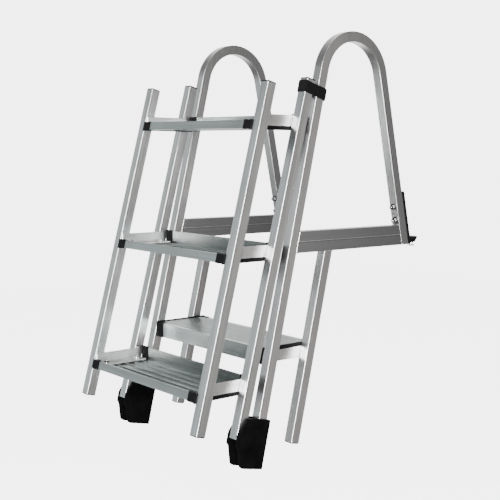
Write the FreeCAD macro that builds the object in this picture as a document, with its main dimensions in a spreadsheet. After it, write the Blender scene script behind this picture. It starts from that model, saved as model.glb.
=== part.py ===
import FreeCAD, Part
import math, os
import Sketcher

# Flip-up dock ladder, stowed: a fixed frame of two bent handrails, side beams and one step,
# and a lower section of four rails and three treads folded up in front of it.
# X is the ladder's width, +Y points to the dock, Z is up, millimetres.

doc = FreeCAD.newDocument("dock_ladder")
sheet = doc.addObject("Spreadsheet::Sheet", "Sizes")


class Size:
    """A length or angle with its value and the formula that binds it to the sheet."""

    def __init__(self, value, text=None):
        self.v = float(value)
        self.e = text if text is not None else repr(float(value))

    def __add__(self, o):
        o = size(o)
        return Size(self.v + o.v, "(%s + %s)" % (self.e, o.e))

    def __sub__(self, o):
        o = size(o)
        return Size(self.v - o.v, "(%s - %s)" % (self.e, o.e))

    def __mul__(self, o):
        o = size(o)
        return Size(self.v * o.v, "(%s * %s)" % (self.e, o.e))

    def __truediv__(self, o):
        o = size(o)
        return Size(self.v / o.v, "(%s / %s)" % (self.e, o.e))

    def __neg__(self):
        return Size(-self.v, "(0 - %s)" % self.e)

    __radd__ = __add__

    def __rmul__(self, o):
        return size(o) * self

    def __rsub__(self, o):
        return size(o) - self


def size(o):
    return o if isinstance(o, Size) else Size(o)


def sin(a):
    return Size(math.sin(math.radians(a.v)), "sin(%s)" % a.e)


def cos(a):
    return Size(math.cos(math.radians(a.v)), "cos(%s)" % a.e)


def tan(a):
    return Size(math.tan(math.radians(a.v)), "tan(%s)" % a.e)


# Driving dimensions, millimetres and degrees: each is a named cell of the sheet
SIZES = {
    # Tubes and overall layout
    "frame_width": 488.0,  # over the outer faces of the rails
    "tube": 25.4,  # square tube, outside
    "tube_wall": 2.0,  # tube wall
    "tube_edge": 1.6,  # outer corner radius of the tube
    "beam_height": 50.8,  # side beam, height
    "beam_groove": 1.2,  # depth of the line along the side beam
    "leg_lean": 12.6,  # lean of the handrail legs, degrees
    "flip_lean": 14.0,  # lean of the folded rails, degrees
    "hinge_reach": 553.5,  # hinge line in front of the dock bolt face
    "hinge_drop": 439.4,  # hinge line below the dock surface
    "leg_gap": 33.0,  # gap between the folded rail and the leg at the hinge
    "rail_pitch": 116.6,  # front rail to back rail, face to face
    "tube_end": 2.5,  # tube ends from the hinge line
    "front_rail_top": 814.0,  # top of the folded front rails from the hinge
    "back_rail_top": 857.0,  # top of the folded back rails from the hinge
    "bend_radius": 105.5,  # handrail bend, centre line
    "beam_drop": 13.0,  # underside of the side beam below the dock surface
    "body_gap": 0.3,  # running clearance between the two sections
    "rail_cap": 2.6,  # visible thickness of a rail end cap
    # Treads
    "tread_first": 108.3,  # deck of the first folded tread from the hinge
    "tread_spacing": 304.8,  # deck to deck
    "step_up": 203.7,  # deck of the fixed step above the hinge line
    "tread_depth": 156.0,  # front fascia to rear lip
    "tread_skin": 3.0,  # deck, fascia and lip thickness
    "deck_depth": 7.4,  # deck with its ribs
    "fascia_height": 36.5,  # tall edge at the climber's side
    "lip_height": 19.5,  # short leaning edge at the dock side
    "rib_width": 3.0,  # rib under the deck
    "rib_first": 26.0,  # first rib from the fascia
    "rib_pitch": 26.0,  # rib to rib
    "groove_pitch": 7.0,  # groove to groove on the deck
    "groove_depth": 1.0,  # depth of a tread groove
    "groove_width": 3.0,  # width of a tread groove
    "fascia_out": 7.5,  # fascia beyond the folded back rail's face
    "step_out": 9.8,  # fixed step's rear edge beyond the rear legs
    "cap_plate": 3.6,  # end cap between tread and rail
    "cap_skin": 1.2,  # end cap over the tread's edges
    "cap_sleeve": 28.5,  # length of the end cap over the lip and the fascia
    "cap_proud": 2.4,  # end cap above the walking surface
    "cap_fold": 9.0,  # end cap over the deck's rounded edges
    "angle_thick": 3.2,  # tread bracket, thickness
    "angle_rise": 26.6,  # tread bracket, upright leg
    "angle_foot": 34.0,  # tread bracket, leg under the deck
    "angle_ends": 14.0,  # tread bracket short of the fascia and the lip
    "bolt_hole": 6.6,  # tread bolt hole
    "bolt_end": 18.0,  # tread bolt from the bracket's ends
    "bolt_side": 18.0,  # tread bolt from the rail's inner face
    # Hinges
    "boot_side": 6.35,  # side wall of the hinge boot
    "boot_fit": 0.4,  # boot to tube, each side
    "boot_back": 4.6,  # back wall of the boot
    "boot_up": 54.0,  # boot above the hinge line
    "boot_down": 59.8,  # boot below the hinge line
    "boot_front": 42.5,  # boot in front of the hinge line, at its widest
    "boot_shoulder": 17.0,  # height where the widest front begins
    "boot_ear": 9.0,  # depth where the widest front ends
    "boot_step": 35.5,  # front just under the widest part
    "boot_brow": 21.5,  # top front corner in front of the hinge line
    "boot_toe": 20.0,  # bottom front corner in front of the hinge line
    "boot_corner": 12.0,  # radius of the rounded front corners
    "boot_bend": 25.0,  # radius at the shoulder
    "pin_radius": 5.0,  # hinge pin
    "pin_fit": 0.05,  # running clearance round the pin
    "pin_recess": 2.0,  # pin ends below the boot's sides
    "pin_end": 0.3,  # pin ends to the bottom of their sockets
    "lug_radius": 9.5,  # barrel round the pin
    "lug_rise": 44.0,  # lug along the folded rail
    "lug_plate": 4.0,  # lug on the rail
    "lug_upper": 38.5,  # where the lug's upper edge meets the barrel, degrees
    "lug_lower": 114.0,  # where its lower edge meets the barrel, degrees
    "lug_side": 0.8,  # lug to boot, both sides together
    # Dock brackets
    "leaf_thick": 9.0,  # bracket leaf behind the rear leg
    "leaf_top": 126.0,  # leaf above the dock surface
    "flange_thick": 6.5,  # flange on the dock
    "flange_heel": 6.0,  # face point behind the leaf
    "flange_out": 21.0,  # flange end behind the face point
    "dock_hole": 8.5,  # hole in the flange
    "dock_hole_y": 12.5,  # hole behind the face point
    # Strap
    "strap_drop": 75.7,  # strap's lower edge below the start of the bend
    "strap_width": 28.5,  # strap width
    "strap_thick": 2.6,  # strap thickness
    "strap_slack": 1.8,  # strap behind the long leg
}
RIB_COUNT, GROOVE_COUNT = 5, 19
for row, (alias, value) in enumerate(SIZES.items(), 1):
    sheet.set("A%d" % row, alias)
    sheet.set("B%d" % row, "%g" % value)
    sheet.setAlias("B%d" % row, alias)


class Dimensions:
    """The sheet's cells as lengths and angles for the code below."""

    def __getattr__(self, alias):
        return Size(SIZES[alias], "Sizes." + alias)


dim = Dimensions()
doc.recompute()

# Places that several pieces share
rail_x = (dim.frame_width - dim.tube) / 2
centre_x = -rail_x
leg_front = dim.leg_gap / 2
leg_back = leg_front + dim.tube
support_front = leg_front + dim.rail_pitch
back_rail_front = -(leg_front + dim.tube)
front_rail_front = back_rail_front - dim.rail_pitch
tread_end = rail_x - dim.tube / 2 - dim.cap_plate
rear_leg_back = -(dim.flange_heel + dim.leaf_thick / cos(dim.leg_lean))

FRAMES = {
    "dock": (size(0), size(0), None, 1),
    "leg": (-dim.hinge_reach, -dim.hinge_drop, dim.leg_lean, -1),
    "flip": (-dim.hinge_reach, -dim.hinge_drop, dim.flip_lean, -1),
}


def place(obj, y, z, x=None, angle=None, axis=-1, turn=None):
    """Placement bound to the sheet: shift, and a lean about the X direction."""
    x = centre_x + (x if x is not None else 0)
    degrees = turn if turn is not None else (angle.v if angle else 0.0)
    rot = FreeCAD.Rotation(FreeCAD.Vector(axis, 0, 0), degrees)
    obj.Placement = FreeCAD.Placement(FreeCAD.Vector(x.v, y.v, z.v), rot)
    obj.setExpression("Placement.Base.x", x.e)
    obj.setExpression("Placement.Base.y", y.e)
    obj.setExpression("Placement.Base.z", z.e)
    if angle is not None:
        obj.setExpression("Placement.Rotation.Angle", angle.e)


nodes = []


def body(name, frame, x=None):
    b = doc.addObject("PartDesign::Body", name)
    b.Label = name
    y, z, lean, axis = FRAMES[frame]
    place(b, y, z, x, lean, axis)
    nodes.append(b)
    return b


def sketch(b, name, role, up=None):
    """A sketch on one of the body's own origin planes, moved along its normal by up."""
    plane = [o for o in b.Origin.OriginFeatures if o.Role == role][0]
    sk = b.newObject("Sketcher::SketchObject", b.Name + "_" + name)
    sk.AttachmentSupport = (plane, [""])
    sk.MapMode = "FlatFace"
    if up is not None:
        sk.AttachmentOffset = FreeCAD.Placement(FreeCAD.Vector(0, 0, up.v), FreeCAD.Rotation())
        sk.setExpression("AttachmentOffset.Base.z", up.e)
    return sk


def vec(p):
    return FreeCAD.Vector(p[0].v, p[1].v, 0)


def pin_point(sk, geo, pos, p):
    for kind, q in (("DistanceX", p[0]), ("DistanceY", p[1])):
        c = sk.addConstraint(Sketcher.Constraint(kind, -1, 1, geo, pos, q.v))
        sk.setExpression("Constraints[%d]" % c, q.e)


def polygon(sk, points):
    """Closed outline through points, each bound to the sheet."""
    pts = [(size(a), size(b)) for a, b in points]
    n = len(pts)
    first = sk.GeometryCount
    for i in range(n):
        sk.addGeometry(Part.LineSegment(vec(pts[i]), vec(pts[(i + 1) % n])))
    for i in range(n):
        g, nxt = first + i, first + (i + 1) % n
        sk.addConstraint(Sketcher.Constraint("Coincident", g, 2, nxt, 1))
        pin_point(sk, g, 1, pts[i])


def rounded(sk, x0, y0, w, h, r):
    """Rounded rectangle from its lower left corner."""
    x0, y0, w, h, r = (size(q) for q in (x0, y0, w, h, r))
    x1, y1 = x0 + w, y0 + h
    ends = [((x0 + r, y0), (x1 - r, y0)), ((x1, y0 + r), (x1, y1 - r)),
            ((x1 - r, y1), (x0 + r, y1)), ((x0, y1 - r), (x0, y0 + r))]
    mids = [(x1 - r, y0 + r), (x1 - r, y1 - r), (x0 + r, y1 - r), (x0 + r, y0 + r)]
    first = sk.GeometryCount
    for a, b in ends:
        sk.addGeometry(Part.LineSegment(vec(a), vec(b)))
    for i, c in enumerate(mids):
        circ = Part.Circle(vec(c), FreeCAD.Vector(0, 0, 1), r.v)
        a0 = math.radians(-90 + 90 * i)
        sk.addGeometry(Part.ArcOfCircle(circ, a0, a0 + math.pi / 2))
    for i, (a, b) in enumerate(ends):
        pin_point(sk, first + i, 1, a)
        pin_point(sk, first + i, 2, b)
        arc, nxt = first + 4 + i, first + (i + 1) % 4
        sk.addConstraint(Sketcher.Constraint("Coincident", first + i, 2, arc, 1))
        sk.addConstraint(Sketcher.Constraint("Coincident", arc, 2, nxt, 1))
        c = sk.addConstraint(Sketcher.Constraint("Radius", arc, r.v))
        sk.setExpression("Constraints[%d]" % c, r.e)


def circle(sk, cx, cy, r):
    cx, cy, r = size(cx), size(cy), size(r)
    g = sk.addGeometry(Part.Circle(vec((cx, cy)), FreeCAD.Vector(0, 0, 1), r.v))
    pin_point(sk, g, 3, (cx, cy))
    c = sk.addConstraint(Sketcher.Constraint("Radius", g, r.v))
    sk.setExpression("Constraints[%d]" % c, r.e)


def pad(b, sk, length, way="One side", back=False):
    f = b.newObject("PartDesign::Pad", sk.Name + "_pad")
    f.Profile = sk
    f.SideType = way
    f.Reversed = back
    f.setExpression("Length", size(length).e)
    return f


def cut(b, sk, length=None, way="Symmetric", back=False):
    """Pocket to a length, or through everything both ways."""
    f = b.newObject("PartDesign::Pocket", sk.Name + "_cut")
    f.Profile = sk
    f.SideType = way
    f.Reversed = back
    if length is None:
        f.Type = "ThroughAll"
    else:
        f.setExpression("Length", size(length).e)
    return f


def tube_section(sk, x0, y0):
    rounded(sk, x0, y0, dim.tube, dim.tube, dim.tube_edge)
    inner = dim.tube - dim.tube_wall * 2
    rounded(sk, x0 + dim.tube_wall, y0 + dim.tube_wall, inner, inner, dim.tube_edge / 2)


def straight_tube(name, frame, x, front, start, end):
    """Square tube along the frame's own upward direction."""
    b = body(name, frame, x)
    sk = sketch(b, "section", "XY_Plane", start)
    tube_section(sk, -(dim.tube / 2), front)
    pad(b, sk, end - start)
    return b


SIDES = (("left", -1), ("right", 1))


# Handrails: one bent tube each, long leg, bend and rear leg
half = leg_front + dim.tube / 2
rear_centre = rear_leg_back - dim.tube / 2 / cos(dim.leg_lean) + dim.hinge_reach
apex = (rear_centre + dim.hinge_drop * tan(dim.leg_lean) - half / cos(dim.leg_lean)) / (tan(dim.leg_lean) * 2)
apex_y = half / cos(dim.leg_lean) + apex * tan(dim.leg_lean)
bend_z = apex - dim.bend_radius / sin(dim.leg_lean)
bend_u = apex_y * sin(dim.leg_lean) + bend_z * cos(dim.leg_lean)
far_z = dim.hinge_drop - dim.beam_drop
rear_run = (bend_z + dim.bend_radius * sin(dim.leg_lean) - far_z) / cos(dim.leg_lean) + dim.tube
two = dim.leg_lean * 2


def in_leg(y, z):
    """A point given from the hinge line, Y and Z, in the leg's leaning frame."""
    y, z = size(y), size(z)
    return (y * cos(dim.leg_lean) - z * sin(dim.leg_lean), y * sin(dim.leg_lean) + z * cos(dim.leg_lean))


for side, sgn in SIDES:
    b = body("handrail_" + side, "leg", rail_x * sgn)
    path = sketch(b, "path", "YZ_Plane")
    low = (half, dim.tube_end)
    t1 = (half, bend_u)
    mid = (half + dim.bend_radius, bend_u)
    t2 = (mid[0] + dim.bend_radius * cos(two), mid[1] + dim.bend_radius * sin(two))
    foot = (t2[0] + rear_run * sin(two), t2[1] - rear_run * cos(two))
    path.addGeometry(Part.LineSegment(vec(low), vec(t1)))
    circ = Part.Circle(vec(mid), FreeCAD.Vector(0, 0, 1), dim.bend_radius.v)
    path.addGeometry(Part.ArcOfCircle(circ, math.radians(two.v), math.pi))
    path.addGeometry(Part.LineSegment(vec(t2), vec(foot)))
    pin_point(path, 0, 1, low)
    pin_point(path, 0, 2, t1)
    path.addConstraint(Sketcher.Constraint("Coincident", 0, 2, 1, 2))
    path.addConstraint(Sketcher.Constraint("Coincident", 1, 1, 2, 1))
    pin_point(path, 2, 1, t2)
    pin_point(path, 2, 2, foot)
    c = path.addConstraint(Sketcher.Constraint("Radius", 1, dim.bend_radius.v))
    path.setExpression("Constraints[%d]" % c, dim.bend_radius.e)
    sk = sketch(b, "section", "XY_Plane", dim.tube_end)
    tube_section(sk, -(dim.tube / 2), leg_front)
    pipe = b.newObject("PartDesign::AdditivePipe", b.Name + "_pipe")
    pipe.Profile = sk
    pipe.Spine = (path, ["Edge1", "Edge2", "Edge3"])
    pipe.Transition = "Transformed"
    # the rear leg is cut level with the underside of the side beam
    sk = sketch(b, "level", "YZ_Plane")
    c0 = rear_centre + dim.beam_drop * tan(dim.leg_lean)
    polygon(sk, [in_leg(c0 - dim.tube * 2, far_z), in_leg(c0 + dim.tube * 2, far_z),
                 in_leg(c0 + dim.tube * 2, far_z - dim.tube * 2),
                 in_leg(c0 - dim.tube * 2, far_z - dim.tube * 2)])
    cut(b, sk)


# Side beams between the long leg and the handrail's rear leg, ends cut to the lean
for side, sgn in SIDES:
    b = body("side_beam_" + side, "dock", rail_x * sgn)
    sk = sketch(b, "outline", "YZ_Plane")
    z0, z1 = -dim.beam_drop, dim.beam_height - dim.beam_drop

    def front_at(z):
        return leg_back / cos(dim.leg_lean) + (z + dim.hinge_drop) * tan(dim.leg_lean) - dim.hinge_reach

    def rear_at(z):
        return rear_leg_back - dim.tube / cos(dim.leg_lean) - z * tan(dim.leg_lean)

    polygon(sk, [(front_at(z0), z0), (rear_at(z0), z0), (rear_at(z1), z1), (front_at(z1), z1)])
    pad(b, sk, dim.tube, "Symmetric")
    sk = sketch(b, "hollow", "XZ_Plane")
    rounded(sk, -(dim.tube / 2) + dim.tube_wall, z0 + dim.tube_wall, dim.tube - dim.tube_wall * 2,
            dim.beam_height - dim.tube_wall * 2, dim.tube_edge / 2)
    cut(b, sk)
    sk = sketch(b, "lines", "XZ_Plane")
    zm = (z0 + z1) / 2
    for s in (-1, 1):
        edge = dim.tube / 2 * s
        polygon(sk, [(edge, zm - dim.beam_groove), (edge - dim.beam_groove * s, zm),
                     (edge, zm + dim.beam_groove)])
    cut(b, sk)


# Rear support legs hanging under the side beams
for side, sgn in SIDES:
    top = (far_z + dim.tube) / cos(dim.leg_lean) + (support_front + dim.tube) * tan(dim.leg_lean)
    b = straight_tube("rear_leg_" + side, "leg", rail_x * sgn, support_front, dim.tube_end, top)
    sk = sketch(b, "level", "YZ_Plane")
    y0 = support_front / cos(dim.leg_lean) + far_z * tan(dim.leg_lean)
    polygon(sk, [in_leg(y0 - dim.tube * 2, far_z), in_leg(y0 + dim.tube * 3, far_z),
                 in_leg(y0 + dim.tube * 3, far_z + dim.tube * 3),
                 in_leg(y0 - dim.tube * 2, far_z + dim.tube * 3)])
    cut(b, sk)


# Folded rails, front and back on each side
for side, sgn in SIDES:
    straight_tube("flip_rail_front_" + side, "flip", rail_x * sgn, front_rail_front,
                  dim.tube_end, dim.front_rail_top - dim.rail_cap)
    straight_tube("flip_rail_back_" + side, "flip", rail_x * sgn, back_rail_front,
                  dim.tube_end, dim.back_rail_top - dim.rail_cap)
    for which, front, top in (("front", front_rail_front, dim.front_rail_top),
                              ("back", back_rail_front, dim.back_rail_top)):
        b = body("rail_cap_%s_%s" % (which, side), "flip", rail_x * sgn)
        sk = sketch(b, "head", "XY_Plane", top - dim.rail_cap)
        rounded(sk, -(dim.tube / 2), front, dim.tube, dim.tube, dim.tube_edge)
        pad(b, sk, dim.rail_cap)
        # plug inside the tube
        sk = sketch(b, "plug", "XY_Plane", top - dim.rail_cap)
        w = dim.tube - dim.tube_wall * 2
        rounded(sk, -(w / 2), front + dim.tube_wall, w, w, dim.tube_edge / 2)
        pad(b, sk, dim.tube / 2, back=True)


def lip_out(z):
    """Outer face of the leaning lip, at a depth under the deck."""
    return dim.tread_depth - z * tan(dim.flip_lean)


def lip_in(z):
    return lip_out(z) - dim.tread_skin / cos(dim.flip_lean)


# Treads: one section for all four, pushed between the rails. Own frame: Y from the fascia
# back to the lip, Z down from the deck.
def tread(name, y, z, turn):
    b = doc.addObject("PartDesign::Body", name)
    b.Label = name
    place(b, y, z, None, None, 1, turn)
    nodes.append(b)
    d, k = dim.tread_depth, dim.tread_skin
    sk = sketch(b, "outline", "YZ_Plane")
    low, high = dim.lip_height, dim.fascia_height
    polygon(sk, [(0, 0), (d, 0), (lip_out(low), -low), (lip_in(low), -low),
                 (lip_in(k), -k), (k, -k), (k, -high), (0, -high)])
    pad(b, sk, tread_end * 2, "Symmetric")
    sk = sketch(b, "rib", "YZ_Plane")
    polygon(sk, [(dim.rib_first, -k), (dim.rib_first, -dim.deck_depth),
                 (dim.rib_first + dim.rib_width, -dim.deck_depth), (dim.rib_first + dim.rib_width, -k)])
    rib = pad(b, sk, tread_end * 2, "Symmetric")
    pattern = b.newObject("PartDesign::LinearPattern", name + "_ribs")
    pattern.Originals = [rib]
    pattern.Direction = (sk, ["H_Axis"])
    pattern.Occurrences = RIB_COUNT
    pattern.setExpression("Length", (dim.rib_pitch * (RIB_COUNT - 1)).e)
    b.Tip = pattern
    doc.recompute()
    g0 = (d - dim.groove_pitch * (GROOVE_COUNT - 1) - dim.groove_width) / 2
    sk = sketch(b, "groove", "YZ_Plane")
    polygon(sk, [(g0, 0), (g0, -dim.groove_depth), (g0 + dim.groove_width, -dim.groove_depth),
                 (g0 + dim.groove_width, 0)])
    groove = cut(b, sk)
    pattern = b.newObject("PartDesign::LinearPattern", name + "_grooves")
    pattern.Originals = [groove]
    pattern.Direction = (sk, ["H_Axis"])
    pattern.Occurrences = GROOVE_COUNT
    pattern.setExpression("Length", (dim.groove_pitch * (GROOVE_COUNT - 1)).e)
    b.Tip = pattern
    return b


def tread_cap(name, y, z, turn, sgn):
    """Moulded end cap: a plate between tread and rail, drawn over the lip and the fascia."""
    b = doc.addObject("PartDesign::Body", name)
    b.Label = name
    place(b, y, z, None, None, 1, turn)
    nodes.append(b)
    d, k, s = dim.tread_depth, dim.tread_skin, dim.cap_skin
    edge = s / cos(dim.flip_lean)
    proud, fold = dim.cap_proud, dim.cap_fold
    lip, fascia = dim.lip_height, dim.fascia_height
    low, high = lip + s, fascia + s
    back = sgn < 0
    x0 = tread_end * sgn
    sk = sketch(b, "plate", "YZ_Plane", x0)
    deck = dim.deck_depth
    polygon(sk, [(-s, proud), (lip_out(-proud) + edge, proud), (lip_out(low) + edge, -low),
                 (lip_in(low) - edge, -low), (lip_in(deck) - edge, -deck), (k + s, -deck),
                 (k + s, -high), (-s, -high)])
    pad(b, sk, dim.cap_plate, back=back)
    sk = sketch(b, "nose", "YZ_Plane", x0)
    polygon(sk, [(d - fold, s), (lip_out(-s) + edge, s), (lip_out(low) + edge, -low),
                 (lip_in(low) - edge, -low), (lip_in(k) - edge, -k), (lip_in(k), -k),
                 (lip_in(lip), -lip), (lip_out(lip), -lip), (d, 0), (d - fold, 0)])
    pad(b, sk, dim.cap_sleeve - dim.cap_plate, back=not back)
    sk = sketch(b, "corner", "YZ_Plane", x0)
    polygon(sk, [(fold, s), (-s, s), (-s, -high), (k + s, -high), (k + s, -k), (k, -k),
                 (k, -fascia), (0, -fascia), (0, 0), (fold, 0)])
    pad(b, sk, dim.cap_sleeve - dim.cap_plate, back=not back)
    return b


def tread_angle(name, y, z, turn, sgn):
    """Angle bracket welded to both rails, with its foot bolted under the deck."""
    b = doc.addObject("PartDesign::Body", name)
    b.Label = name
    place(b, y, z, None, None, 1, turn)
    nodes.append(b)
    out = (rail_x - dim.tube / 2) * sgn
    top = -dim.deck_depth
    a, wide = dim.angle_thick, dim.tread_depth - dim.angle_ends * 2
    foot, rise = out - dim.angle_foot * sgn, top - dim.angle_rise
    # the upright leg stands against the rails' inner faces
    sk = sketch(b, "section", "XZ_Plane", -dim.angle_ends)
    polygon(sk, [(out, top), (out, rise), (out - a * sgn, rise),
                 (out - a * sgn, top - a), (foot, top - a), (foot, top)])
    pad(b, sk, wide, back=True)
    sk = sketch(b, "holes", "XY_Plane", top)
    for yy in (dim.angle_ends + dim.bolt_end, dim.tread_depth - dim.angle_ends - dim.bolt_end):
        circle(sk, out - dim.bolt_side * sgn, yy, dim.bolt_hole / 2)
    cut(b, sk)
    return b


def tread_set(label, y, z, turn):
    tread("tread_" + label, y, z, turn)
    for side, sgn in SIDES:
        tread_cap("tread_cap_%s_%s" % (label, side), y, z, turn, sgn)
        tread_angle("tread_bracket_%s_%s" % (label, side), y, z, turn, sgn)


# the fixed step, right way up, between the long legs and the rear legs
rear_edge = (support_front + dim.tube) / cos(dim.leg_lean) + dim.step_up * tan(dim.leg_lean)
step_y = rear_edge + dim.step_out - dim.tread_depth - dim.hinge_reach
tread_set("fixed", step_y, dim.step_up - dim.hinge_drop, 0.0)
# the folded treads hang upside down, fascia towards the dock
for i, label in enumerate(("low", "mid", "high")):
    up = dim.tread_first + dim.tread_spacing * i
    y = up * tan(dim.flip_lean) - leg_front / cos(dim.flip_lean) + dim.fascia_out - dim.hinge_reach
    tread_set(label, y, up - dim.hinge_drop, 180.0)


def cross_edges(feature, corners):
    """The feature's edges along X that stand on the given corners of its outline."""
    found = []
    for n, edge in enumerate(feature.Shape.Edges):
        p = edge.Vertexes[0].Point
        for v, u in corners:
            if edge.BoundBox.XLength > 1 and abs(p.y - v.v) < 0.01 and abs(p.z - u.v) < 0.01:
                found.append("Edge%d" % (n + 1))
    return found


# Hinge boots: a moulded channel round each long leg's lower end, open to the front
for side, sgn in SIDES:
    b = body("hinge_boot_" + side, "leg", rail_x * sgn)
    back = leg_back + dim.body_gap + dim.boot_back
    wide = dim.tube + (dim.boot_fit + dim.boot_side) * 2
    sk = sketch(b, "outline", "YZ_Plane")
    brow, shoulder = (-dim.boot_brow, dim.boot_up), (-dim.boot_front, dim.boot_shoulder)
    ear = (-dim.boot_front, -dim.boot_ear)
    step = (-dim.boot_step, -(dim.boot_ear + dim.boot_front - dim.boot_step))
    toe = (-dim.boot_toe, -dim.boot_down)
    polygon(sk, [(back, -dim.boot_down), (back, dim.boot_up), brow, shoulder, ear, step, toe])
    pad(b, sk, wide, "Symmetric")
    sk = sketch(b, "channel", "XY_Plane")
    w = dim.tube + dim.boot_fit * 2
    polygon(sk, [(-(w / 2), -dim.boot_front * 2), (w / 2, -dim.boot_front * 2),
                 (w / 2, back - dim.boot_back), (-(w / 2), back - dim.boot_back)])
    cut(b, sk)
    sk = sketch(b, "socket", "YZ_Plane")
    circle(sk, 0, 0, dim.pin_radius + dim.pin_fit)
    last = cut(b, sk, wide - (dim.pin_recess - dim.pin_end) * 2)
    for name, radius, corners in (("corners", dim.boot_corner, (brow, toe)),
                                  ("bend", dim.boot_bend, (shoulder,))):
        doc.recompute()
        edges = cross_edges(last, corners)
        fillet = b.newObject("PartDesign::Fillet", "%s_%s" % (b.Name, name))
        fillet.Base = (last, edges)
        fillet.setExpression("Radius", radius.e)
        last = fillet

    b = body("hinge_pin_" + side, "leg", rail_x * sgn)
    sk = sketch(b, "round", "YZ_Plane")
    circle(sk, 0, 0, dim.pin_radius)
    pad(b, sk, wide - dim.pin_recess * 2, "Symmetric")

    # the lug stands on the folded rail and turns on the pin
    b = body("hinge_lug_" + side, "flip", rail_x * sgn)
    r = dim.lug_radius
    sk = sketch(b, "cheek", "YZ_Plane")
    polygon(sk, [(-leg_front, dim.tube_end), (-leg_front, dim.lug_rise),
                 (dim.lug_plate - leg_front, dim.lug_rise),
                 (r * cos(dim.lug_upper), r * sin(dim.lug_upper)), (0, 0),
                 (r * cos(dim.lug_lower), -(r * sin(dim.lug_lower)))])
    pad(b, sk, dim.tube + dim.boot_fit * 2 - dim.lug_side, "Symmetric")
    sk = sketch(b, "barrel", "YZ_Plane")
    circle(sk, 0, 0, dim.lug_radius)
    pad(b, sk, dim.tube + dim.boot_fit * 2 - dim.lug_side, "Symmetric")
    sk = sketch(b, "bore", "YZ_Plane")
    circle(sk, 0, 0, dim.pin_radius + dim.pin_fit)
    cut(b, sk)


# Dock brackets: a leaf bolted behind the handrail's rear leg and a flange on the dock
for side, sgn in SIDES:
    b = body("dock_bracket_" + side, "dock", rail_x * sgn)

    def leaf_y(z, t):
        return rear_leg_back - z * tan(dim.leg_lean) + t / cos(dim.leg_lean)

    sk = sketch(b, "leaf", "YZ_Plane")
    low, high = -dim.beam_drop, dim.leaf_top
    heel, out, up = dim.flange_heel, dim.flange_out, dim.flange_thick
    polygon(sk, [(leaf_y(low, size(0)), low), (-heel, low), (-heel, 0), (out, 0), (out, up),
                 (leaf_y(up, dim.leaf_thick), up), (leaf_y(high, dim.leaf_thick), high),
                 (leaf_y(high, size(0)), high)])
    pad(b, sk, dim.tube, "Symmetric")
    sk = sketch(b, "hole", "XY_Plane")
    circle(sk, 0, dim.dock_hole_y, dim.dock_hole / 2)
    cut(b, sk)


# Strap round the folded back rail and the long leg, right-hand side
b = body("stow_strap", "leg", rail_x)
tilt = dim.flip_lean - dim.leg_lean
strap_low = bend_u - dim.strap_drop
strap_front = back_rail_front * cos(tilt) + strap_low * sin(tilt) - dim.body_gap
sk = sketch(b, "band", "XY_Plane", strap_low)
inner_w = dim.tube + dim.body_gap * 2
t = dim.strap_thick
y1 = leg_back + dim.strap_slack
rounded(sk, -(inner_w / 2) - t, strap_front - t, inner_w + t * 2, y1 - strap_front + t * 2, t + dim.body_gap)
rounded(sk, -(inner_w / 2), strap_front, inner_w, y1 - strap_front, dim.body_gap)
pad(b, sk, dim.strap_width)

doc.recompute()

bad = [o.Name for o in doc.Objects if "Invalid" in o.State or "Error" in o.State]
if bad:
    raise RuntimeError("failed: " + ", ".join(bad))
os.makedirs("parts", exist_ok=True)
for b in nodes:
    shape = b.Shape
    if shape.isNull() or not shape.isValid() or not shape.Solids:
        raise RuntimeError("bad shape: " + b.Label)
    if len(b.Label) > 59:
        raise RuntimeError("long name: " + b.Label)
for b in nodes:
    b.Shape.exportStep("parts/%s.step" % b.Label)
print("%d nodes, %.3f litres" % (len(nodes), sum(b.Shape.Volume for b in nodes) / 1e6))
for b in nodes:
    bb = b.Shape.BoundBox
    print("%-28s %d solid  x %7.1f %7.1f  y %7.1f %7.1f  z %7.1f %7.1f  %9.0f" % (
        b.Label, len(b.Shape.Solids), bb.XMin, bb.XMax, bb.YMin, bb.YMax, bb.ZMin, bb.ZMax,
        b.Shape.Volume))
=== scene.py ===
import math

import bmesh
import bpy
from mathutils import Matrix, Vector


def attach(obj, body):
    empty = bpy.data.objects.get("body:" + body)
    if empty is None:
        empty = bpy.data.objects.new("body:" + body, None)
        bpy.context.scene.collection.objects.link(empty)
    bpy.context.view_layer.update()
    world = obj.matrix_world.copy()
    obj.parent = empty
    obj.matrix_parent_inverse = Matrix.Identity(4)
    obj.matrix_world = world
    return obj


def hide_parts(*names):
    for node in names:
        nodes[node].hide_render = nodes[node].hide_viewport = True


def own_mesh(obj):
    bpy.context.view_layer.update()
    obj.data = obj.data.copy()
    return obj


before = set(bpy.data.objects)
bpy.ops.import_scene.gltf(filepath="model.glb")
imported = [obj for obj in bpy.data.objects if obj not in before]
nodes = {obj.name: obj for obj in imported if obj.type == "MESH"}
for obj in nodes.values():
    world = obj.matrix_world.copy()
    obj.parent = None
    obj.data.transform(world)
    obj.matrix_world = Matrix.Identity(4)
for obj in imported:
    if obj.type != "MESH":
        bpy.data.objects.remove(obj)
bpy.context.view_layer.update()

# Lengths in metres, angles in radians
LEAN = math.radians(12.6)       # handrail legs
FOLD = math.radians(14.0)       # folded rails
RIGHT, LEFT = 0.0, -0.4626      # middle planes of the rails
HINGE = Vector((0.0, -0.5535, -0.4394))
TUBE = 0.0254                   # square tube, outside
HALF = TUBE / 2
RAIL_PITCH = 0.1166             # front rail to back rail, face to face

# Faces of the leaning tubes, as far behind the hinge line, square to each tube
LEG_FRONT = 0.0165                      # long leg
LEG_BACK = LEG_FRONT + TUBE
SUPPORT_FRONT = LEG_FRONT + RAIL_PITCH  # rear leg, front
BACK_RAIL = -LEG_BACK                   # folded back rail, front
FRONT_RAIL = BACK_RAIL - RAIL_PITCH     # folded front rail, front

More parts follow.
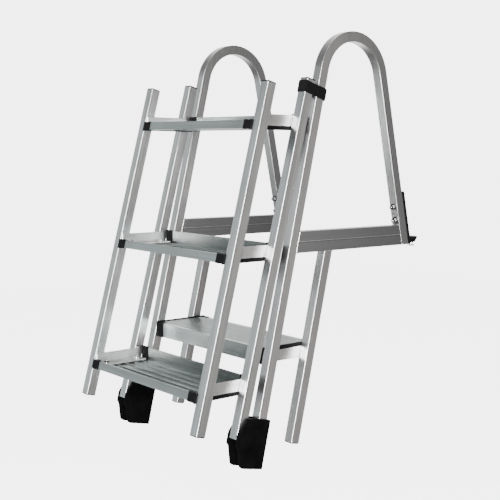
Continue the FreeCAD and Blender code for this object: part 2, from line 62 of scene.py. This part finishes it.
TUBE_END = 0.0025                       # tube ends above the hinge line, along each tube
BEAM_LOW, BEAM_HIGH = -0.013, 0.0378    # side beam
BEAM_GROOVE = 0.0012                    # half the height of the line along the beam
BEAM_BACK = -0.0383                     # where the beam's underside meets the handrail's rear leg
LEAF = 0.009                            # dock bracket's leaf behind the rear leg
FLANGE = 0.0065                         # dock bracket's flange
DOCK_HOLE = 0.0125                      # hole in the flange, behind the face point
SIDES = (("left", LEFT, 1), ("right", RIGHT, -1))   # name, middle plane, way to the ladder's middle

# Treads: name, walking surface, outer face of the fascia, which way up, body, lean of its rails, rails
TREADS = (("fixed", -0.2357, -0.4918, 1, "fixed_frame", LEAN, (LEG_FRONT, SUPPORT_FRONT)),
          ("low", -0.3311, -0.5360, -1, "flip_section", FOLD, (FRONT_RAIL, BACK_RAIL)),
          ("mid", -0.0263, -0.4600, -1, "flip_section", FOLD, (FRONT_RAIL, BACK_RAIL)),
          ("high", 0.2785, -0.3840, -1, "flip_section", FOLD, (FRONT_RAIL, BACK_RAIL)))
TREAD_DEPTH = 0.156
DECK = 0.0074                   # deck with its ribs
RISE = 0.0266                   # bracket's upright, under the deck
FOOT_THICK = 0.0032             # bracket's foot
BRACKET_ENDS = 0.014            # bracket short of the fascia and the lip
BOLT_NEAR = BRACKET_ENDS + 0.018                    # tread bolts behind the fascia
BOLT_FAR = TREAD_DEPTH - BRACKET_ENDS - 0.018
BOLT_SIDE = HALF + 0.018                            # tread bolts from the rail's middle plane


# Materials

def new_material(name):
    """A material with its nodes, its links and its one shader."""
    m = bpy.data.materials.new(name)
    m.use_nodes = True
    return m, m.node_tree.nodes, m.node_tree.links, m.node_tree.nodes["Principled BSDF"]


def noise(n, k, vector, scale, detail):
    node = n.new("ShaderNodeTexNoise")
    node.inputs["Scale"].default_value = scale
    node.inputs["Detail"].default_value = detail
    k.new(vector, node.inputs["Vector"])
    return node.outputs["Fac"]


def ramp(n, k, factor, low, high, start=0.3, end=0.7):
    """Colour that goes from low to high while the factor goes from start to end."""
    node = n.new("ShaderNodeValToRGB")
    node.color_ramp.elements[0].position = start
    node.color_ramp.elements[0].color = tuple(low) + (1,)
    node.color_ramp.elements[1].position = end
    node.color_ramp.elements[1].color = tuple(high) + (1,)
    k.new(factor, node.inputs["Fac"])
    return node.outputs["Color"]


def spread(n, k, value, low, high):
    """The middle range of a noise, spread out from low to high."""
    node = n.new("ShaderNodeMapRange")
    node.inputs["From Min"].default_value = 0.3
    node.inputs["From Max"].default_value = 0.7
    node.inputs["To Min"].default_value = low
    node.inputs["To Max"].default_value = high
    k.new(value, node.inputs["Value"])
    return node.outputs["Result"]


def bump(n, k, bsdf, height, strength, distance):
    node = n.new("ShaderNodeBump")
    node.inputs["Strength"].default_value = strength
    node.inputs["Distance"].default_value = distance
    k.new(height, node.inputs["Height"])
    k.new(node.outputs["Normal"], bsdf.inputs["Normal"])


def blend(n, k, factor, a, b):
    """Two values mixed, with that share of the second."""
    node = n.new("ShaderNodeMix")
    node.data_type = "FLOAT"
    node.inputs["Factor"].default_value = factor
    k.new(a, node.inputs[2])
    k.new(b, node.inputs[3])
    return node.outputs[0]


def mirrored_at(n, k, vector, plane):
    """The same coordinates on both sides of a plane across Y."""
    split, join = n.new("ShaderNodeSeparateXYZ"), n.new("ShaderNodeCombineXYZ")
    away, size = n.new("ShaderNodeMath"), n.new("ShaderNodeMath")
    away.operation, size.operation = "SUBTRACT", "ABSOLUTE"
    away.inputs[1].default_value = plane
    k.new(vector, split.inputs[0])
    k.new(split.outputs["Y"], away.inputs[0])
    k.new(away.outputs[0], size.inputs[0])
    k.new(split.outputs["X"], join.inputs["X"])
    k.new(size.outputs[0], join.inputs["Y"])
    k.new(split.outputs["Z"], join.inputs["Z"])
    return join.outputs[0]


def drawn(name, colour, rough, run, turn=0.0, contrast=0.22, mirror=None):
    """Bare or blackened metal: drawing lines along the profile and clouds over them."""
    m, n, k, bsdf = new_material(name)
    bsdf.inputs["Metallic"].default_value = 1.0
    co = n.new("ShaderNodeTexCoord")
    level = n.new("ShaderNodeMapping")
    level.inputs["Rotation"].default_value = (turn, 0, 0)
    place = co.outputs["Object"]
    if mirror is not None:
        place = mirrored_at(n, k, place, mirror)
    k.new(place, level.inputs["Vector"])

    def lines(scale):
        node = n.new("ShaderNodeMapping")
        node.inputs["Scale"].default_value = tuple(r * scale for r in run)
        k.new(level.outputs["Vector"], node.inputs["Vector"])
        return noise(n, k, node.outputs["Vector"], 1.0, 3.0)

    broad, fine = lines(0.3), lines(1.0)
    clouds = noise(n, k, co.outputs["Object"], 9.0, 4.0)
    streaks = blend(n, k, 0.45, broad, fine)
    tone = blend(n, k, 0.3, streaks, clouds)
    colour_out = ramp(n, k, tone, (c * (1 - contrast) for c in colour),
                      (min(1, c * (1 + contrast)) for c in colour), 0.36, 0.64)
    k.new(colour_out, bsdf.inputs["Base Color"])
    k.new(spread(n, k, tone, rough + 0.07, rough - 0.05), bsdf.inputs["Roughness"])
    bump(n, k, bsdf, streaks, 0.2, 0.0001)
    return m


def moulded(name, colour, rough, speck=700.0, depth=0.3, shine=0.3):
    """Moulded black plastic: fine eroded texture, slight greying in patches."""
    m, n, k, bsdf = new_material(name)
    bsdf.inputs["Specular IOR Level"].default_value = shine
    co = n.new("ShaderNodeTexCoord")
    fine = noise(n, k, co.outputs["Object"], speck, 2.0)
    worn = noise(n, k, co.outputs["Object"], 30.0, 5.0)
    colour_out = ramp(n, k, worn, (c * 0.7 for c in colour), (c * 1.9 for c in colour))
    k.new(colour_out, bsdf.inputs["Base Color"])
    k.new(spread(n, k, worn, rough - 0.05, rough + 0.1), bsdf.inputs["Roughness"])
    bump(n, k, bsdf, fine, depth, 0.0002)
    return m


def webbing(name):
    """Woven nylon strap: raised cross ribs with a finer twill over them."""
    m, n, k, bsdf = new_material(name)
    bsdf.inputs["Specular IOR Level"].default_value = 0.05
    bsdf.inputs["Sheen Weight"].default_value = 0.01
    co = n.new("ShaderNodeTexCoord")
    uv = n.new("ShaderNodeMapping")
    k.new(co.outputs["UV"], uv.inputs["Vector"])
    waves = []
    for direction, scale in (("X", 60.0), ("DIAGONAL", 90.0)):
        wave = n.new("ShaderNodeTexWave")
        wave.bands_direction = direction
        wave.inputs["Scale"].default_value = scale
        wave.inputs["Distortion"].default_value = 0.4
        k.new(uv.outputs["Vector"], wave.inputs["Vector"])
        waves.append(wave.outputs["Fac"])
    weave = blend(n, k, 0.4, waves[0], waves[1])
    colour_out = ramp(n, k, weave, (0.0006, 0.0006, 0.0007), (0.003, 0.003, 0.0033))
    k.new(colour_out, bsdf.inputs["Base Color"])
    k.new(spread(n, k, weave, 0.85, 0.7), bsdf.inputs["Roughness"])
    bump(n, k, bsdf, weave, 0.6, 0.0004)
    return m


APEX = -0.2268      # the handrail's legs lean towards this plane
leg_tube = drawn("drawn leg tube", (0.46, 0.46, 0.46), 0.30, (420, 420, 5), -LEAN, 0.2, APEX)
fold_tube = drawn("drawn folding rail", (0.45, 0.46, 0.46), 0.30, (420, 420, 5), FOLD)
beam_metal = drawn("drawn side beam", (0.25, 0.25, 0.26), 0.40, (420, 5, 420), 0.0, 0.15)
tread_metal = drawn("extruded tread", (0.30, 0.325, 0.322), 0.36, (4, 420, 420))
bracket_metal = drawn("tread bracket", (0.46, 0.455, 0.45), 0.42, (90, 30, 90), 0.0, 0.3)
dock_metal = drawn("dock bracket", (0.035, 0.035, 0.037), 0.42, (300, 300, 8))
lug_metal = drawn("hinge lug", (0.3, 0.3, 0.3), 0.42, (300, 300, 8), FOLD)
bolt_steel = drawn("zinc plated bolt", (0.42, 0.42, 0.41), 0.17, (160, 160, 160))
black_steel = drawn("blackened steel", (0.03, 0.03, 0.03), 0.3, (160, 160, 160))
# Cap nut base darkened far below bare steel: painted shade standing in for the dark ring of shade round
# each nut.
painted_shade_nut_steel = drawn("cap nut darkened for painted shade", (0.11, 0.11, 0.11), 0.16, (160, 160, 160))
weld_metal = drawn("weld bead", (0.72, 0.7, 0.68), 0.36, (260, 260, 260), 0.0, 0.3)
cap_plastic = moulded("black end cap", (0.0022, 0.0022, 0.0024), 0.5, shine=0.05)
boot_plastic = moulded("black hinge boot", (0.0008, 0.0008, 0.0009), 0.5, 500.0, 0.35, 0.045)
strap_webbing = webbing("black strap webbing")

# First words of a solid's name, and its finish: the first that fits is taken
FINISHES = (("handrail", leg_tube), ("rear_leg", leg_tube), ("flip_rail", fold_tube),
            ("side_beam", beam_metal), ("dock_bracket", dock_metal), ("tread_bracket", bracket_metal),
            ("tread_cap", cap_plastic), ("rail_cap", cap_plastic), ("tread_", tread_metal),
            ("hinge_boot", boot_plastic), ("hinge_lug", lug_metal), ("hinge_pin", bolt_steel),
            ("stow_strap", cap_plastic))

for name, obj in nodes.items():
    finish = next(m for start, m in FINISHES if name.startswith(start))
    obj.data.materials.clear()
    obj.data.materials.append(finish)


# Pieces: what repeats is modelled once at the origin, pointing up, and copied into place

def open_for_editing(primitive, **size):
    """A primitive of its final size, alone selected, in edit mode."""
    bpy.ops.object.select_all(action="DESELECT")
    primitive(**size)
    bpy.ops.object.transform_apply(location=True, rotation=True, scale=True)
    bpy.ops.object.mode_set(mode="EDIT")
    return bpy.context.object


def pick_objects(objects):
    """Select these objects alone, and make the first one active."""
    bpy.ops.object.select_all(action="DESELECT")
    for obj in objects:
        obj.select_set(True)
    bpy.context.view_layer.objects.active = objects[0]


def pick_faces(obj, wanted):
    bpy.ops.mesh.select_mode(type="FACE")
    bpy.ops.mesh.select_all(action="DESELECT")
    mesh = bmesh.from_edit_mesh(obj.data)
    for face in mesh.faces:
        face.select_set(bool(wanted(face)))
    bmesh.update_edit_mesh(obj.data)


def pick_edges(obj, wanted):
    bpy.ops.mesh.select_mode(type="EDGE")
    bpy.ops.mesh.select_all(action="DESELECT")
    mesh = bmesh.from_edit_mesh(obj.data)
    for edge in mesh.edges:
        edge.select_set(bool(wanted(edge)))
    bmesh.update_edit_mesh(obj.data)


def raise_rings(rings):
    """Extrude the selected face through rings of (radius, height), the first being its own."""
    for (before, low), (radius, high) in zip(rings, rings[1:]):
        bpy.ops.mesh.extrude_region_move(TRANSFORM_OT_translate={"value": (0, 0, high - low)})
        bpy.ops.transform.resize(value=(radius / before, radius / before, 1.0))


def turned(shapes, angle=30):
    """Many-sided shapes on one axis: each is (sides, rings of (radius, height) from the bottom up)."""
    model = None
    for sides, rings in shapes:
        radius, height = rings[0]
        size = dict(vertices=sides, radius=radius, fill_type="NGON", location=(0, 0, height))
        if model is None:
            model = open_for_editing(bpy.ops.mesh.primitive_circle_add, **size)
        else:
            bpy.ops.mesh.select_all(action="DESELECT")
            bpy.ops.mesh.primitive_circle_add(**size)
        raise_rings(rings)
    close(model, angle)
    return model


def close(model, angle=30):
    """Point all faces outwards, leave edit mode, and keep edges over this angle sharp."""
    bpy.ops.mesh.select_all(action="SELECT")
    bpy.ops.mesh.normals_make_consistent(inside=False)
    bpy.ops.object.mode_set(mode="OBJECT")
    bpy.ops.object.shade_smooth_by_angle(angle=math.radians(angle))


def put(model, at, up=(0, 0, 1), spin=0.0):
    """A copy with its own mesh, its foot at that point and its Z turned to up."""
    copy = model.copy()
    copy.data = model.data.copy()
    bpy.context.scene.collection.objects.link(copy)
    turn = Vector((0, 0, 1)).rotation_difference(Vector(up)).to_matrix().to_4x4()
    copy.matrix_world = Matrix.Translation(at) @ turn @ Matrix.Rotation(spin, 4, "Z")
    pick_objects([copy])
    bpy.ops.object.transform_apply(location=True, rotation=True, scale=True)
    return copy


def finished(parts, name, material, body):
    """Join the parts, name the piece, give it its material and the body it rides on."""
    pick_objects(parts)
    if len(parts) > 1:
        bpy.ops.object.join()
    piece = bpy.context.object
    piece.name = piece.data.name = name
    piece.data.materials.clear()
    piece.data.materials.append(material)
    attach(piece, body)
    return piece


def lean_y(v, z, angle):
    """Y of the plane that lies v behind the hinge line along a leaning tube, at height z."""
    return HINGE.y + v * math.cos(angle) + math.tan(angle) * (z - HINGE.z + v * math.sin(angle))


def in_frame(x, v, u, angle):
    """A point v behind the hinge line and u up along a leaning tube."""
    return Vector((x, HINGE.y + v * math.cos(angle) + u * math.sin(angle),
                   HINGE.z - v * math.sin(angle) + u * math.cos(angle)))


def tread_bolts():
    """Bolt, washer and nut through each bracket's foot, with a low head on the walking side."""
    under = FOOT_THICK + DECK
    model = turned(((14, ((0.0014, -under - 0.0013), (0.0040, -under - 0.0010), (0.0056, -under - 0.0001),
                          (0.0030, -under + 0.0002), (0.0030, 0.0), (0.0068, 0.0001), (0.0070, 0.0004),
                          (0.0067, 0.0013), (0.0031, 0.0014), (0.0031, 0.0070), (0.0024, 0.0077))),
                    (6, ((0.0051, 0.0013), (0.0057, 0.0017), (0.0057, 0.0052), (0.0050, 0.0057)))))
    for tread, deck, fascia, up, body, _, _ in TREADS:
        for side, middle, inward in SIDES:
            for end, along in (("front", BOLT_NEAR), ("back", BOLT_FAR)):
                at = (middle + inward * BOLT_SIDE, fascia + up * along, deck - up * under)
                spin = 40.0 * along     # the front and the back nut aren't turned alike
                finished([put(model, at, (0, 0, -up), spin)],
                         "tread_bolt_%s_%s_%s" % (tread, side, end), bolt_steel, body)
    bpy.data.objects.remove(model)


def leg_bolts():
    """Cap nuts on the front of the handrail's rear leg, heads on the dock bracket's leaf."""
    behind = TUBE + LEAF
    places = (("upper", -0.0612, 0.0860), ("lower", -0.0534, 0.0510))   # Y and Z on the leg's front face
    forward = (0, -math.cos(LEAN), -math.sin(LEAN))
    model = turned(((18, ((0.0052, -behind - 0.0045), (0.0062, -behind - 0.0038), (0.0065, -behind),
                          (0.0040, -behind + 0.0002), (0.0040, 0.0), (0.0076, 0.0001), (0.0078, 0.0006),
                          (0.0074, 0.0015), (0.0060, 0.0016), (0.0060, 0.0066), (0.0054, 0.0092),
                          (0.0040, 0.0114), (0.0018, 0.0127))),
                    (6, ((0.0062, 0.0015), (0.0071, 0.0020), (0.0071, 0.0060), (0.0060, 0.0068)))))
    for side, middle, _ in SIDES:
        for level, y, z in places:
            # each cap nut gets the darkened steel, which paints the shade round it
            finished([put(model, (middle, y, z), forward, 0.3)],
                     "leg_bolt_%s_%s" % (side, level), painted_shade_nut_steel, "fixed_frame")
    bpy.data.objects.remove(model)


def dock_bolts():
    """Low-headed bolt down through each flange, a black pad under it, and a clamp toe towards the dock."""
    bolt = turned(((16, ((0.0034, -0.0196), (0.0040, -0.0190), (0.0040, 0.0), (0.0040, FLANGE),
                         (0.0078, FLANGE + 0.0001), (0.0074, FLANGE + 0.0008),
                         (0.0050, FLANGE + 0.0014), (0.0020, FLANGE + 0.0016))),))

    pad = open_for_editing(bpy.ops.mesh.primitive_cube_add, size=1, location=(0, 0.0080, -0.0044),
                           scale=(0.0240, 0.0240, 0.0084))
    pick_faces(pad, lambda f: f.normal.z < -0.9)
    bpy.ops.transform.resize(value=(0.84, 0.74, 1))
    bpy.ops.mesh.inset(thickness=0.0030, depth=0.0)
    bpy.ops.mesh.extrude_region_move(TRANSFORM_OT_translate={"value": (0, 0, -0.0014)})
    pick_edges(pad, lambda e: e.calc_face_angle(0) > 0.6)
    bpy.ops.mesh.bevel(offset=0.0006, segments=2, affect="EDGES")
    close(pad)

    toe = open_for_editing(bpy.ops.mesh.primitive_cube_add, size=1, location=(0, 0.0, -0.0175),
                           scale=(0.013, 0.014, 0.0026))
    pick_faces(toe, lambda f: f.normal.y > 0.9)
    bpy.ops.mesh.extrude_region_move(TRANSFORM_OT_translate={"value": (0, 0.0022, -0.0010)})
    bpy.ops.transform.resize(value=(0.72, 1, 0.75))
    pick_edges(toe, lambda e: True)
    bpy.ops.mesh.bevel(offset=0.0006, segments=2, affect="EDGES")
    close(toe)

    for side, middle, _ in SIDES:
        for name, model, back, finish in (("dock_bolt_", bolt, DOCK_HOLE, bolt_steel),
                                          ("dock_pad_", pad, 0.0, black_steel),
                                          ("dock_clamp_toe_", toe, DOCK_HOLE - 0.0008, bolt_steel)):
            finished([put(model, (middle, back, 0.0))], name + side, finish, "fixed_frame")
    for model in (bolt, pad, toe):
        bpy.data.objects.remove(model)


def tube_plugs():
    """Dished black plugs in the open bottom ends of the folded front rails and the rear legs."""
    low, corner = -0.0022, 0.0012       # the plug's face under the tube's end, and its rounded corners
    model = turned(((4, ((0.0090, low + 0.0006), (0.0100, low), (0.0162, low), (0.0171, low + 0.0005),
                         (0.0171, -0.0001), (0.0148, 0.0), (0.0148, 0.0022), (0.0134, 0.0026),
                         (0.0130, 0.0100), (0.0120, 0.0104))),))
    pick_objects([model])
    bpy.ops.object.mode_set(mode="EDIT")
    pick_edges(model, lambda e: abs(e.verts[0].co.z - e.verts[1].co.z) > corner)
    bpy.ops.mesh.bevel(offset=corner, segments=3, affect="EDGES")
    close(model)
    for side, middle, _ in SIDES:
        for name, front, lean, body in (("flip_rail_plug_front_", FRONT_RAIL, FOLD, "flip_section"),
                                        ("rear_leg_plug_", SUPPORT_FRONT, LEAN, "fixed_frame")):
            at = in_frame(middle, front + HALF, TUBE_END, lean)
            along = (0, math.sin(lean), math.cos(lean))
            finished([put(model, at, along, math.radians(45))], name + side, cap_plastic, body)
    bpy.data.objects.remove(model)


def bead(start, end, radius):
    """A weld bead between two points, in overlapping ripples."""
    way = Vector(end) - Vector(start)
    length = way.length
    ripple = 0.0028
    count = max(3, round(length / ripple))
    rings = [(radius * 0.45, 0.0)]
    for i in range(count):
        swell = radius * (1.0 + 0.12 * math.sin(i * 2.3 + length * 900))
        rings += [(swell, length * (i + 0.30) / count), (swell * 0.86, length * (i + 0.92) / count)]
    rings.append((radius * 0.4, length))
    model = turned(((8, rings),), 50)
    copy = put(model, start, way.normalized())
    bpy.data.objects.remove(model)
    return copy


def tread_welds():
    """Beads along each bracket's lower edge where it crosses a rail, and up its two ends."""
    edge_bead, end_bead = 0.0021, 0.0023
    shortest = 0.006
    for tread, deck, fascia, up, body, lean, rails in TREADS:
        root, edge = deck - up * DECK, deck - up * (DECK + RISE)
        ends = sorted((fascia + up * BRACKET_ENDS, fascia + up * (TREAD_DEPTH - BRACKET_ENDS)))
        for side, middle, inward in SIDES:
            x = middle + inward * (HALF + 0.0009)
            beads = []
            for rail, end, out in zip(rails, ends, (-1, 1)):
                low = max(lean_y(rail, edge, lean) + 0.001, ends[0])
                high = min(lean_y(rail + TUBE, edge, lean) - 0.001, ends[1])
                under, beside = edge - up * 0.0004, end + out * 0.0005
                if high - low > shortest:
                    beads.append(bead((x, low, under), (x, high, under), edge_bead))
                beads.append(bead((x, beside, edge), (x, beside, root - up * 0.002), end_bead))
            finished(beads, "tread_weld_%s_%s" % (tread, side), weld_metal, body)


def frame_welds():
    """Beads round both ends of each side beam, and round the rear leg's head under it."""
    for side, middle, _ in SIDES:
        left, right = middle - HALF + 0.001, middle + HALF - 0.001
        beads = []
        for way, foot in ((1, lean_y(LEG_BACK, BEAM_LOW, LEAN)), (-1, BEAM_BACK)):
            head = foot + way * (BEAM_HIGH - BEAM_LOW) * math.tan(LEAN)
            for face in (-1, 1):
                x = middle + face * (HALF - 0.0009)
                beads.append(bead((x, foot, BEAM_LOW + 0.001), (x, head, BEAM_HIGH - 0.001), 0.0015))
            beads.append(bead((left, head, BEAM_HIGH), (right, head, BEAM_HIGH), 0.0018))
        finished(beads, "beam_weld_" + side, weld_metal, "fixed_frame")

        front, back = (lean_y(SUPPORT_FRONT + reach, BEAM_LOW, LEAN) for reach in (0.0, TUBE))
        beads = [bead((left, y, BEAM_LOW), (right, y, BEAM_LOW), 0.0019)
                 for y in (front - 0.0004, back + 0.0004)]
        for face in (-1, 1):
            x = middle + face * (HALF - 0.0008)
            beads.append(bead((x, front, BEAM_LOW), (x, back, BEAM_LOW), 0.0015))
        finished(beads, "rear_leg_weld_" + side, weld_metal, "fixed_frame")


def beam_highlight_lines():
    """A thin rod in bright weld metal along both faces of each side beam, just over its groove: a painted
    highlight standing in for the light that the groove's edge catches.
    """
    z = (BEAM_LOW + BEAM_HIGH) / 2 + BEAM_GROOVE
    into = 0.001        # each end of the line runs on under the weld bead
    start = lean_y(LEG_BACK, z, LEAN) - into
    length = BEAM_BACK - (z - BEAM_LOW) * math.tan(LEAN) + into - start
    rings = ((0.0008, 0.0), (0.0009, 0.001), (0.0009, length - 0.001), (0.0008, length))
    rod = turned(((8, rings),), 60)
    for side, middle, _ in SIDES:
        lines = [put(rod, (middle + face * (HALF - 0.0002), start, z), (0, 1, 0)) for face in (-1, 1)]
        # the bright weld metal on these rods is what paints the highlight line along the beam
        finished(lines, "beam_highlight_line_" + side, weld_metal, "fixed_frame")
    bpy.data.objects.remove(rod)


# Strap round the right long leg and the folded back rail, in millimetres as seen from above:
# across the leg, and behind the hinge line
STRAP_PATH = ((7.0, 44.6), (-7.0, 45.2), (-14.0, 44.0), (-14.4, 30.0), (-14.5, 5.0), (-14.1, -16.0),
              (-14.0, -23.5), (-7.0, -23.9), (7.0, -23.9), (14.0, -23.5), (14.1, -16.0), (14.5, 5.0),
              (14.4, 30.0), (14.2, 44.8), (7.5, 47.6), (-3.0, 48.3), (-9.5, 47.6))
STRAP_WIDE, STRAP_THICK = 0.0275, 0.0022
STRAP_FRONT, STRAP_UP = -0.0239, 0.8365     # front of the band, and its middle's height there
STRAP_DROP = 0.075                          # how much lower it lies for each metre further back


def cut_corners(points, rounds):
    """Round a path by cutting off its corners; its two ends stay."""
    for _ in range(rounds):
        cut = [points[0]]
        for a, b in zip(points, points[1:]):
            cut += [a.lerp(b, 0.25), a.lerp(b, 0.75)]
        points = cut + [points[-1]]
    return points


def strap():
    """Webbing wound once round leg and rail, its end lapped over behind the leg."""
    line = cut_corners([Vector((x, v, 0)) * 0.001 for x, v in STRAP_PATH], 3)
    reach = [0.0]
    for a, b in zip(line, line[1:]):
        reach.append(reach[-1] + (b - a).length)

    def along(share):
        want = share * reach[-1]
        i = max(j for j, r in enumerate(reach[:-1]) if r <= want)
        return line[i].lerp(line[i + 1], (want - reach[i]) / (reach[i + 1] - reach[i]))

    band = open_for_editing(bpy.ops.mesh.primitive_grid_add, x_subdivisions=120, y_subdivisions=6, size=1)
    bpy.ops.object.mode_set(mode="OBJECT")
    for vertex in band.data.vertices:
        share, across = vertex.co.x + 0.5, vertex.co.y
        spot = along(share)
        height = STRAP_UP - (spot.y - STRAP_FRONT) * STRAP_DROP + across * STRAP_WIDE
        height += 0.0005 * math.sin(share * 17.0) * (across + 0.6)      # slightly wavy edges
        if spot.y > 0.04:
            spot.y += 0.0006 * math.cos(across * math.pi)               # the lap bulges behind the leg
        vertex.co = in_frame(RIGHT + spot.x, spot.y, height, LEAN)
    for kind, values in (("SOLIDIFY", dict(thickness=STRAP_THICK, offset=0.0)),
                         ("BEVEL", dict(width=0.0006, segments=2, limit_method="ANGLE"))):
        step = band.modifiers.new(kind.lower(), kind)
        for key, value in values.items():
            setattr(step, key, value)
        bpy.ops.object.modifier_apply(modifier=step.name)
    bpy.ops.object.mode_set(mode="EDIT")
    close(band, 40)
    finished([band], "strap_webbing", strap_webbing, "fixed_frame")
    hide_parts("stow_strap")
    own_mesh(band)


tread_bolts()
leg_bolts()
dock_bolts()
tube_plugs()
tread_welds()
frame_welds()
beam_highlight_lines()
strap()


# Studio: pale floor, camera where the photograph was taken, soft lights

def studio_walls(bright_side):
    """White to the camera; to the ladder grey walls all round, and a bright one to one side."""
    world = bpy.data.worlds.new("studio")
    bpy.context.scene.world = world
    world.use_nodes = True
    n, k = world.node_tree.nodes, world.node_tree.links
    co = n.new("ShaderNodeTexCoord")
    facing = n.new("ShaderNodeVectorMath")
    facing.operation = "DOT_PRODUCT"
    facing.inputs[1].default_value = bright_side
    k.new(co.outputs["Generated"], facing.inputs[0])
    wall = n.new("ShaderNodeMapRange")
    wall.interpolation_type = "SMOOTHSTEP"
    wall.inputs["From Min"].default_value = 0.5
    wall.inputs["From Max"].default_value = 0.95
    wall.inputs["To Min"].default_value = 0.24
    wall.inputs["To Max"].default_value = 2.6
    k.new(facing.outputs["Value"], wall.inputs["Value"])
    seen = n.new("ShaderNodeLightPath")
    white, brighter = n.new("ShaderNodeMath"), n.new("ShaderNodeMath")
    white.operation, brighter.operation = "MULTIPLY", "MAXIMUM"
    white.inputs[1].default_value = 5.0
    k.new(seen.outputs["Is Camera Ray"], white.inputs[0])
    k.new(white.outputs[0], brighter.inputs[0])
    k.new(wall.outputs["Result"], brighter.inputs[1])
    k.new(brighter.outputs[0], n["Background"].inputs["Strength"])
    n["Background"].inputs["Color"].default_value = (1, 1, 1, 1)


def studio_floor():
    """A plain floor under the ladder's lower end, with room for it to swing down."""
    swung_down = HINGE.z - 0.90
    bpy.ops.mesh.primitive_plane_add(size=16, location=(0, 0, swung_down))
    floor = bpy.context.object
    floor.name = "floor"
    m, n, k, bsdf = new_material("pale floor")
    bsdf.inputs["Base Color"].default_value = (0.95, 0.95, 0.95, 1)
    bsdf.inputs["Roughness"].default_value = 1.0
    bsdf.inputs["Specular IOR Level"].default_value = 0.0
    bsdf.inputs["Emission Color"].default_value = (1, 1, 1, 1)
    bsdf.inputs["Emission Strength"].default_value = 4.4
    floor.data.materials.append(m)
    floor.visible_diffuse = floor.visible_glossy = False


def softbox(name, way, far, size, power, aside=0.0, tint=(1, 1, 1)):
    """A soft light that far from the ladder's middle, and to one side of it, shining back."""
    middle = Vector((-0.23, -0.35, 0.0))
    way = Vector(way).normalized()
    lamp = bpy.data.lights.new(name, "AREA")
    lamp.shape = "RECTANGLE"
    lamp.size, lamp.size_y = size
    lamp.energy, lamp.color = power, tint
    obj = bpy.data.objects.new(name, lamp)
    bpy.context.scene.collection.objects.link(obj)
    obj.location = middle + way * far + Vector((-way.y, way.x, 0)) * aside
    obj.rotation_euler = way.to_track_quat("Z", "Y").to_euler()
    obj.visible_camera = False


def photo_camera():
    """The camera as fitted to the photograph: its lens in pixels, its turn and its place."""
    picture, focal, shift = 500, 952.6, -45.0
    lens = bpy.data.cameras.new("photo camera")
    lens.sensor_width = 36.0
    lens.lens = focal * lens.sensor_width / picture
    lens.shift_y = shift / picture
    cam = bpy.data.objects.new("photo camera", lens)
    bpy.context.scene.collection.objects.link(cam)
    yaw, pitch, roll = math.radians(49.7), math.radians(3.3), math.radians(-0.7)
    ahead = Vector((-math.sin(yaw) * math.cos(pitch), math.cos(yaw) * math.cos(pitch), -math.sin(pitch)))
    level = Vector((math.cos(yaw), math.sin(yaw), 0))
    right = level * math.cos(roll) - level.cross(ahead) * math.sin(roll)
    turn = Matrix((right, right.cross(ahead), -ahead)).transposed()
    cam.matrix_world = Matrix.Translation((1.6463, -1.9465, 0.2286)) @ turn.to_4x4()
    bpy.context.scene.camera = cam


studio_floor()
studio_walls(Vector((-0.76, 0.65, 0.0)))
softbox("edge strip", (0.66, -0.72, 0.12), 2.9, (1.9, 2.4), 520)
softbox("left box", (-0.76, -0.61, 0.10), 3.2, (1.6, 2.7), 14, 0.0, (0.90, 1.0, 1.0))
softbox("right box", (0.76, 0.65, 0.0), 1.35, (0.52, 1.9), 2.0, -0.30, (1.0, 0.94, 0.88))
softbox("top box", (-0.1, -0.1, 1.0), 2.6, (1.6, 1.6), 16)
photo_camera()
